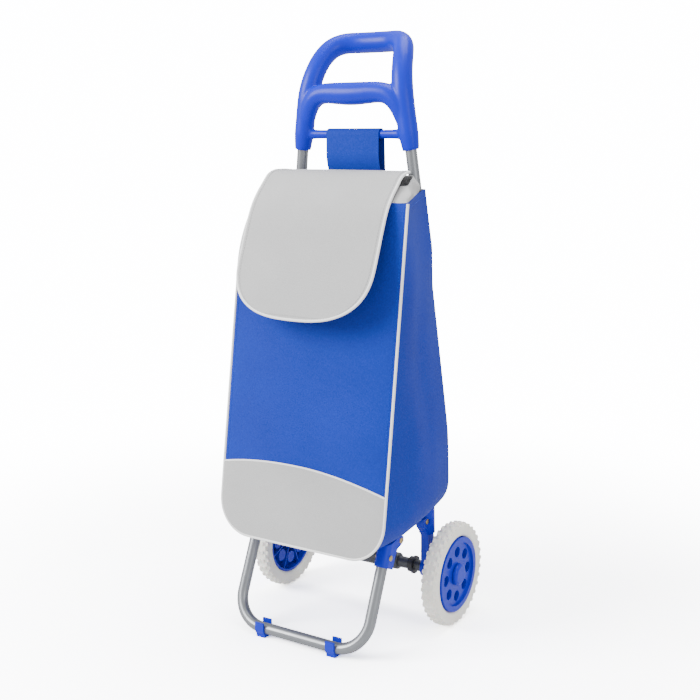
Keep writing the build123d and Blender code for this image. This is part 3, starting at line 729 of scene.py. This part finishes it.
# ---- bag: grey patch ---------------------------------------------------------------------
# A light grey layer of the same cloth is sewn over the lower front. Its top edge is a
# shallow arch that sits a little lower on the right.
ARCH_LEFT, ARCH_CREST, ARCH_RIGHT = (-0.149, 0.2728), (-0.025, 0.287), (0.149, 0.261)
arch_bend = np.polyfit(*zip(ARCH_LEFT, ARCH_CREST, ARCH_RIGHT), 2)
PATCH_PROUD = 0.0012
PATCH_ROWS = 0.305


def arch_height(x):
    """Height of the patch's top edge above the front panel's lower edge."""
    return float(np.polyval(arch_bend, x)) - FRONT_LOW_Z


def patch_point(u, v):
    """On the patch: its lower rows follow the panel's edge, its upper rows bend to the arch."""
    half, up = panel_rows(FRONT_HALF, FRONT_TOP_HALF, front_height, (v + 1) / 2 * PATCH_ROWS)
    x, full = u * half, panel_rows(FRONT_HALF, FRONT_TOP_HALF, front_height, PATCH_ROWS)[1]
    lift = min(1, max(0, (up - CORNER_R) / (full - CORNER_R)))
    up += (arch_height(x) - full) * lift * lift * (3 - 2 * lift)
    return Vector((x, front_y(FRONT_LOW_Z + up) - front_crown(x, up) - PATCH_PROUD,
                   FRONT_LOW_Z + up))


grey_cloth = cloth_material("grey_cloth", (0.52, 0.52, 0.515), (0.41, 0.41, 0.41), 0.05, 0.0005)
patch = cloth_grid("grey_patch", 70, 40, patch_point, grey_cloth, 0.001)
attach(patch, "frame")
folds_with_frame(patch)
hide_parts("bag_lower_patch")

# ---- bag: white pipings ------------------------------------------------------------------
# A white corded piping is sewn into the seam round the front panel, and a thinner one
# along the top of the grey patch.


def piping(name, points, radius):
    """A corded edge through points, as a mesh."""
    cord = empty_curve(name)
    spline = cord.data.splines.new("POLY")
    spline.points.add(len(points) - 1)
    for spot, point in zip(spline.points, points):
        spot.co = (*point, 1)
    cord = rounded(cord, radius, 3)
    bpy.ops.object.shade_smooth()
    cord.data.materials.append(white_piping)
    return cord


white_piping = cloth_material("white_piping", (0.97, 0.97, 0.96), (0.9, 0.9, 0.89), 0.1, 0.0002)
PIPING_R, THIN_PIPING_R = 0.0021, 0.0015
edge_points = []
for i in range(161):
    u = -1 + i / 80
    x, up = outline(abs(u), FRONT_HALF + 0.001, FRONT_TOP_HALF + 0.001, front_height)
    pull = mouth_pull(u, FRONT_LOW_Z + up, 0)
    edge_points.append((x if u > 0 else pull - x, front_y(FRONT_LOW_Z + up) - 0.0004,
                        FRONT_LOW_Z + up - 0.0008))
front_piping = piping("front_piping_cord", edge_points, PIPING_R)
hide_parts("front_piping")
arch_points = []
for i in range(81):
    x = (i / 40 - 1) * (FRONT_HALF - 0.001)
    up = arch_height(x) + 0.001
    arch_points.append((x, front_y(FRONT_LOW_Z + up) - front_crown(x, up)
                        - PATCH_PROUD, FRONT_LOW_Z + up))
patch_piping = piping("patch_piping_cord", arch_points, THIN_PIPING_R)
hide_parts("patch_piping")
for piece in (front_piping, patch_piping):
    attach(piece, "frame")
    folds_with_frame(piece)

# ---- bag: seams --------------------------------------------------------------------------
# Lockstitch in blue thread runs beside the piping and along the hem of the mouth, on the
# front and on both sides.
STITCH, STITCH_GAP, THREAD_R = 0.0034, 0.0014, 0.00042
STITCH_END = 0.55         # how thin a stitch is where it goes into the cloth


def stitches(name, points, thread, body):
    """A row of stitches laid along points, as one mesh that lies on the cloth."""
    row = empty_curve(name)
    line = np.array(points, float)
    walked_line = np.concatenate([[0], np.cumsum(np.linalg.norm(np.diff(line, axis=0), axis=1))])
    start = STITCH_GAP
    while start + STITCH < walked_line[-1]:
        spline = row.data.splines.new("POLY")
        spline.points.add(2)
        for spot, share in zip(spline.points, (0, 0.5, 1)):
            spot.co = (*(float(np.interp(start + share * STITCH, walked_line, line[:, k]))
                         for k in range(3)), 1)
            spot.radius = 1.0 if share == 0.5 else STITCH_END
        start += STITCH + STITCH_GAP
    row = rounded(row, THREAD_R, 1)
    row.data.materials.append(thread)
    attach(row, body)
    return row


blue_thread = cloth_material("blue_thread", (0.006, 0.06, 0.6), (0.004, 0.045, 0.5), 0.1, 0.0002)
grey_thread = cloth_material("grey_thread", (0.45, 0.45, 0.45), (0.38, 0.38, 0.38), 0.1, 0.0002)
SEAM_INSET, HEM = 0.0055, 0.011
SEAM_PROUD, SIDE_PROUD = 0.0003, Vector((0.0009, 0, 0))
PANEL_HALF, STRIP_HALF = 0.15, 0.65     # half the front's width and half the strip's length
seam_u, hem_u = 1 - SEAM_INSET / PANEL_HALF, 1 - HEM / STRIP_HALF
seam_steps = [0.97 - k * 0.0163 for k in range(120)]
hem_steps = [-0.97 + k * 0.0324 for k in range(61)]
rows = {
    "front_seam_left": [front_point(-seam_u, v, SEAM_PROUD) for v in seam_steps],
    "front_seam_right": [front_point(seam_u, v, SEAM_PROUD) for v in seam_steps],
    "front_hem": [front_point(-0.97 + k * 0.0194, 1 - 2 * HEM / front_height, SEAM_PROUD)
                  for k in range(101)],
    "side_hem_left": [strip_point(-hem_u, v) - SIDE_PROUD for v in hem_steps],
    "side_hem_right": [strip_point(hem_u, v) + SIDE_PROUD for v in hem_steps],
}
for name, points in rows.items():
    row = stitches(name, points, blue_thread, "frame")
    folds_with_frame(row)

# ---- bag: collar -------------------------------------------------------------------------
# A short collar of grey cloth is sewn round the mouth and leans inwards under the flap,
# creased where it turns at the corners.
RING_BLUR = 5             # how many samples on each side round off a corner
COLLAR_SLACK = 0.0042
LOW_RING = ((0.1465, front_y(FRONT_TOP_Z) + 0.001, 0.6885), (0.1185, axle_y - 0.0443, 0.7015))
TOP_RING = ((0.132, axle_y - 0.104, 0.7115), (0.109, axle_y - 0.0443, 0.726))


def ring_point(ring, share):
    """A point on a four-cornered ring with round corners; share goes once round."""
    (front_x, near_y, near_z), (back_x, far_y, far_z) = ring
    corners = [Vector((front_x, near_y, near_z)), Vector((back_x, far_y, far_z)),
               Vector((-back_x, far_y, far_z)), Vector((-front_x, near_y, near_z))]
    total = Vector()
    for step in range(-RING_BLUR, RING_BLUR + 1):
        spot = (share + step * 0.004) % 1 * 4
        k = int(spot)
        total += corners[k].lerp(corners[(k + 1) % 4], spot - k)
    return total / (2 * RING_BLUR + 1)


def collar_point(u, v):
    """On the collar: u goes once round the mouth, v from its seam to its free edge."""
    share, rise = (u + 1) / 2 % 1, (v + 1) / 2
    point = ring_point(LOW_RING, share).lerp(ring_point(TOP_RING, share), rise)
    slack = sin(pi * rise) * COLLAR_SLACK
    sag = slack * (0.8 + 2.4 * noise.noise(point * 46))
    outward = Vector((point.x, point.y - (axle_y - 0.08), 0)).normalized()
    depth = (point.y - LOW_RING[0][1]) / (LOW_RING[1][1] - LOW_RING[0][1])
    point.x += mouth_pull(point.x, FRONT_TOP_Z, max(0, depth)) * (1 - rise * 0.5)
    return point + outward * sag


collar = cloth_grid("mouth_collar", 200, 12, collar_point, grey_cloth, 0.001, side=0)
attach(collar, "frame")
folds_with_frame(collar)
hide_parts("bag_collar")

# ---- hanging strap -----------------------------------------------------------------------
# A wide loop of the blue cloth goes over the handle's crossbar, and both its ends are sewn
# into the top of the bag's back.
STRAP_HALF, STRAP_SEAM_IN = 0.048, 0.003
STRAP_LOW_Z = 0.690
STRAP_BACK, STRAP_FRONT = 0.42, 0.58      # shares of the loop where it meets and leaves the bar
STRAP_LAYER = 0.0018      # between the two layers where they are sewn together
STRAP_HANGS = 0.3        # the front layer hangs straight for this share before it goes back
strap_r = CROSSBAR_R + 0.0011
bar_y = crossbar_y + axle_y
tail_y = back_y(STRAP_LOW_Z) - 0.0035


def strap_path(share):
    """(y, z) along the loop, from the tail's back layer over the bar to its front layer."""
    if share < STRAP_BACK:
        t = share / STRAP_BACK
        return (tail_y + (bar_y + strap_r - tail_y) * t + 0.0012 * sin(pi * t),
                STRAP_LOW_Z + (CROSSBAR_Z - STRAP_LOW_Z) * t)
    if share < STRAP_FRONT:
        turn = (share - STRAP_BACK) / (STRAP_FRONT - STRAP_BACK) * pi
        return bar_y + strap_r * cos(turn), CROSSBAR_Z + strap_r * sin(turn)
    t = (share - STRAP_FRONT) / (1 - STRAP_FRONT)
    back = max(0.0, (t - STRAP_HANGS) / (1 - STRAP_HANGS))
    back = back * back * (3 - 2 * back)
    return (bar_y - strap_r + (tail_y - STRAP_LAYER - bar_y + strap_r) * back,
            CROSSBAR_Z + (STRAP_LOW_Z - CROSSBAR_Z) * t)


def strap_point(u, v):
    """On the loop: u across it and v along it, a little hollow in the middle."""
    y, z = strap_path((v + 1) / 2)
    return Vector((u * STRAP_HALF, y - 0.0006 * (1 - u * u) * sin(pi * (v + 1) / 2), z))


strap = cloth_grid("hanging_loop", 24, 90, strap_point, blue_cloth, 0.0011)
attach(strap, "frame")
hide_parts("hanging_strap")

for name, side in (("strap_seam_left", -1), ("strap_seam_right", 1)):
    across = side * (STRAP_HALF - STRAP_SEAM_IN) / STRAP_HALF
    points = [strap_point(across, 0.17 + k * 0.0075) - Vector((0, 0.0008, 0))
              for k in range(100)]
    row = stitches(name, points, blue_thread, "frame")

# ---- flap --------------------------------------------------------------------------------
# The lid is grey cloth on a stiff interlining, with a navy underside sheet whose dark colour
# paints the shade under the lid.
# It is sewn to the back of the mouth, rolls over the collar and stands off the front, with white
# piping round it.
FLAP_HALF, FLAP_STRAIGHT_Z, FLAP_LOW_Z = 0.1215, 0.600, 0.517
FLAP_ROUND = 2.6          # the power of the rounded lower outline, 2 being an ellipse
FLAP_TURN = 0.56          # the share of the outline where that begins
SEAM_TUCK = 0.026         # the sewn edge is this much narrower on each side
SPINE_STEPS = 20
UNDER_BELOW, RIM_BELOW, FLAP_PIPING_R = 0.0018, 0.0012, 0.0022
flap_spine = [(-0.049, 0.728), (-0.072, 0.733), (-0.096, 0.729), (-0.113, 0.717),
              (-0.148, 0.677), (-0.179, 0.603), (-0.203, 0.544), (-0.2155, 0.512)]
spine = []
for i in range(len(flap_spine) - 1):
    p0, p1, p2, p3 = (Vector(flap_spine[min(max(i + k, 0), len(flap_spine) - 1)])
                      for k in (-1, 0, 1, 2))
    for k in range(SPINE_STEPS):
        t = k / SPINE_STEPS
        spine.append(0.5 * (2 * p1 + (p2 - p0) * t + (2 * p0 - 5 * p1 + 4 * p2 - p3) * t * t
                            + (3 * p1 - p0 - 3 * p2 + p3) * t ** 3))
spine.append(Vector(flap_spine[-1]))
spine_y, spine_z = np.array([p.x for p in spine]), np.array([p.y for p in spine])
walked = np.concatenate([[0], np.cumsum(np.hypot(np.diff(spine_y), np.diff(spine_z)))])
crest = int(np.argmax(spine_z))


def walked_at(z):
    """Distance down the flap from its sewn edge, where it reaches a height past the crest."""
    return float(np.interp(-z, -spine_z[crest:], walked[crest:]))


def flap_edge(share):
    """(half width, distance down) of the flap's outline, from 0 at the seam to 1 at the tip."""
    if share < FLAP_TURN:
        down = share / FLAP_TURN * walked_at(FLAP_STRAIGHT_Z)
        tuck = SEAM_TUCK * max(0.0, 1 - down / walked[crest + 6]) ** 0.7
        return FLAP_HALF - tuck, down
    turn = (share - FLAP_TURN) / (1 - FLAP_TURN) * pi / 2
    drop = (FLAP_STRAIGHT_Z - FLAP_LOW_Z) * sin(turn) ** (2 / FLAP_ROUND)
    return FLAP_HALF * max(0.0, cos(turn)) ** (2 / FLAP_ROUND), walked_at(FLAP_STRAIGHT_Z - drop)


def spine_at(down):
    """(y, z) on the flap's middle line, with y from the axle."""
    return float(np.interp(down, walked, spine_y)), float(np.interp(down, walked, spine_z))


def on_flap(x, down, proud=0.0):
    """On the flap: x across, a distance down from its sewn edge, and how far off its face."""
    y, z = spine_at(down)
    ahead = min(down + 0.004, walked[-1])
    (near_y, near_z), (far_y, far_z) = spine_at(ahead - 0.008), spine_at(ahead)
    slope = Vector((far_y - near_y, far_z - near_z))
    slope.normalize()
    puff = (0.002 * max(0, 1 - (x / FLAP_HALF) ** 2) * min(1, down * 14)
            + crumple(x, down, 2, 0.085, 0.0026) * min(1, down * 10) + proud)
    return Vector((x, y + axle_y + slope.y * puff, z - slope.x * puff))


def flap_point(u, v):
    """On the grey cover."""
    half, down = flap_edge((v + 1) / 2)
    return on_flap(u * half, down)


def under_point(u, v):
    """On the navy underside, whose dark colour paints the shade under the lid; a little smaller
    and below the cover.
    """
    half, down = flap_edge((v + 1) / 2)
    return on_flap(u * half * 0.995, down * 0.998, -UNDER_BELOW)


def round_flap(inset, proud):
    """Points from one sewn corner round the flap to the other, inside its edge by inset."""
    points, tip = [], walked_at(FLAP_LOW_Z) - inset
    for i in range(181):
        share = i / 90
        half, down = flap_edge(share if share <= 1 else 2 - share)
        inner = max(0.0, half - inset)
        points.append(on_flap(inner if share <= 1 else -inner, min(down, tip), proud))
    return points


# Painted shade: the underside's dark navy stands in for the shade under the lid.
navy_painted_shade = cloth_material("navy_painted_shade", (0.006, 0.02, 0.13), (0.004, 0.014, 0.09), 0.1)
flap = cloth_grid("flap_cover", 60, 90, flap_point, grey_cloth, 0.0016, side=1)
under = cloth_grid("flap_underside_painted_shade", 60, 90, under_point, navy_painted_shade, 0.0009, side=1)
flap_piping = piping("flap_piping_cord", round_flap(0, -RIM_BELOW), FLAP_PIPING_R)
lid_seam = stitches("flap_seam", round_flap(SEAM_INSET, SEAM_PROUD), grey_thread, "flap")
folds_with_frame(lid_seam)
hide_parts("flap")
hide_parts("flap_piping")
for piece in (flap, under, flap_piping):
    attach(piece, "flap")
    folds_with_frame(piece)
